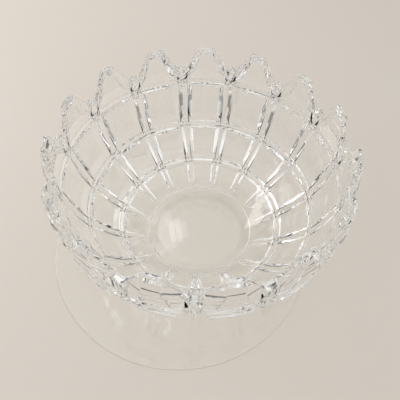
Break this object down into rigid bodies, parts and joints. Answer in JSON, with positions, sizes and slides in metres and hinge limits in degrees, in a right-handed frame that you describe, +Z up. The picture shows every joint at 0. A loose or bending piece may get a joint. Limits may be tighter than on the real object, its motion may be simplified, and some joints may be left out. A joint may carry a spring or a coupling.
{
  "type": "punch bowl",
  "caption": "Deep clear glass bowl with bevelled block rows and a toothed rim, standing loose on a plain round glass underplate.",
  "frame": {"origin": "centre of the underplate's lower face, on the table", "axes": "+Z up, +Y to the back, +X to the right as seen from the front"},
  "size_m": [0.347, 0.334, 0.1805],
  "materials": {
    "bowl_glass": "clear pressed glass, fire-polished, edges slightly softened",
    "plate_glass": "clear flat glass with a polished round edge"
  },
  "bodies": {
    "underplate": {"underplate": "plate_glass"},
    "bowl": {"bowl": "bowl_glass"}
  },
  "joints": [
    {"name": "bowl_lift", "type": "slide", "parent": "underplate", "child": "bowl", "axis": [0, 0, 1], "range_m": [0, 0.2]}
  ]
}
